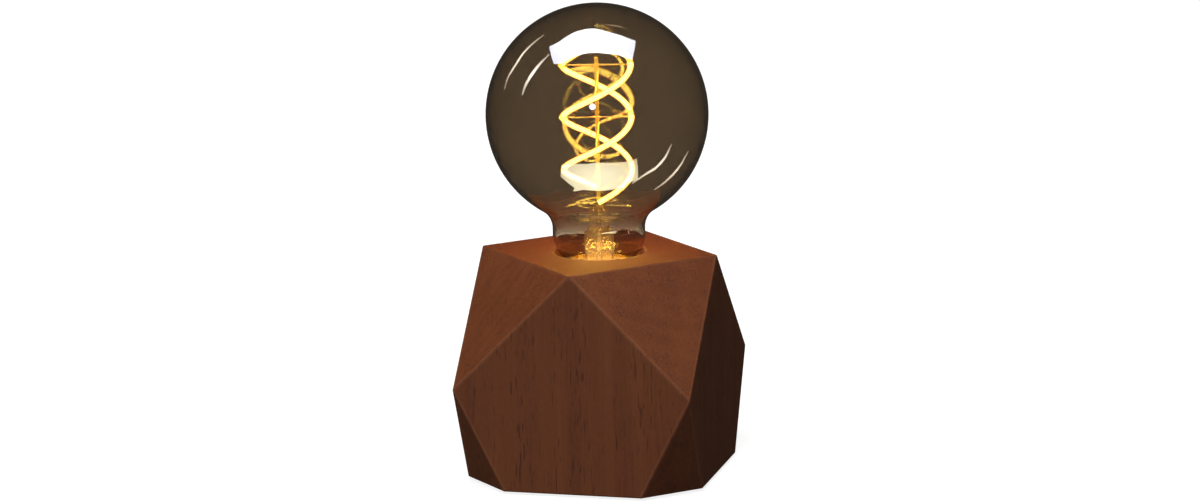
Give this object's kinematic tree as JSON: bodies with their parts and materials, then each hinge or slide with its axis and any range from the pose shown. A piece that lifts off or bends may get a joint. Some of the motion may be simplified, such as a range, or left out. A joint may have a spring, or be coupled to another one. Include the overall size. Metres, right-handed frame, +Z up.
{
  "type": "bare bulb table lamp",
  "caption": "Small table lamp: a faceted dark wood block with a bare tinted globe bulb standing in a round hole in its top, a twisted glowing strand inside the glass.",
  "frame": {"origin": "centre of the underside, on the plane that the lamp stands on", "axes": "+Z up along the bulb's axis; the front face of the block looks along -Y; the cable inlet is in the +Y face; +X is to the right seen from the front"},
  "size_m": [0.1036, 0.1036, 0.2029],
  "materials": {
    "wood": "dark walnut stain, satin lacquer, upright grain",
    "rubber": "matt black",
    "black_plastic": "fine matt",
    "steel": "zinc-plated",
    "ceramic": "white, unglazed",
    "brass": "bright stamped brass",
    "smoked_glass": "amber-smoke tinted, clear, gloss",
    "clear_glass": "clear, gloss",
    "cap_gold": "gold-coloured pressed metal, satin",
    "solder": "soft grey solder",
    "cement": "rough cast cement",
    "black_glass": "black opaque glass, gloss",
    "circuit_board": "white solder mask",
    "components": "black mouldings and sleeves",
    "nickel_wire": "drawn nickel wire",
    "filament": "yellow phosphor silicone, lit"
  },
  "bodies": {
    "base": {"wood_block": "wood", "rubber_feet": "rubber", "pocket_cover": "black_plastic", "cover_screws": "steel", "cable_inlet": "black_plastic", "threaded_nipple": "steel", "nipple_washer": "steel", "nipple_nut": "steel", "holder_cap": "black_plastic", "holder_skirt": "black_plastic", "ceramic_insert": "ceramic", "screw_shell": "brass", "shell_rivets": "brass", "side_strip": "brass", "centre_strip": "brass", "terminal_blocks": "brass", "terminal_screws": "steel", "contact_spring": "steel"},
    "bulb_core": {"cap_insulator": "black_glass", "cap_contact": "solder"},
    "bulb": {"glass_envelope": "smoked_glass", "cap_shell": "cap_gold", "cap_cement": "cement", "driver_board": "circuit_board", "driver_components": "components", "driver_leads": "nickel_wire", "glass_stem": "clear_glass", "exhaust_tube": "clear_glass", "glass_rod": "clear_glass", "lead_wires": "nickel_wire", "filament_pins": "nickel_wire", "led_filament": "filament", "top_support_wire": "nickel_wire", "middle_support_wire": "nickel_wire"},
    "contact_plunger": {"centre_contact": "brass", "retaining_clip": "steel"}
  },
  "joints": [
    {"name": "bulb_rise", "type": "slide", "parent": "base", "child": "bulb_core", "axis": [0, 0, 1], "range_m": [0, 0.0128]},
    {"name": "bulb_turn", "type": "hinge", "parent": "bulb_core", "child": "bulb", "pos_m": [0, 0, 0.0649], "axis": [0, 0, 1], "range_deg": [0, 1260]},
    {"name": "contact_press", "type": "slide", "parent": "base", "child": "contact_plunger", "axis": [0, 0, -1], "range_m": [0, 0.0008], "stiffness_N_per_m": 1500, "springref_m": -0.002, "deforming": ["contact_spring"]}
  ],
  "couplings": [
    {"joint": "bulb_rise", "follows": "bulb_turn", "m_per_rad": 0.00057757}
  ]
}
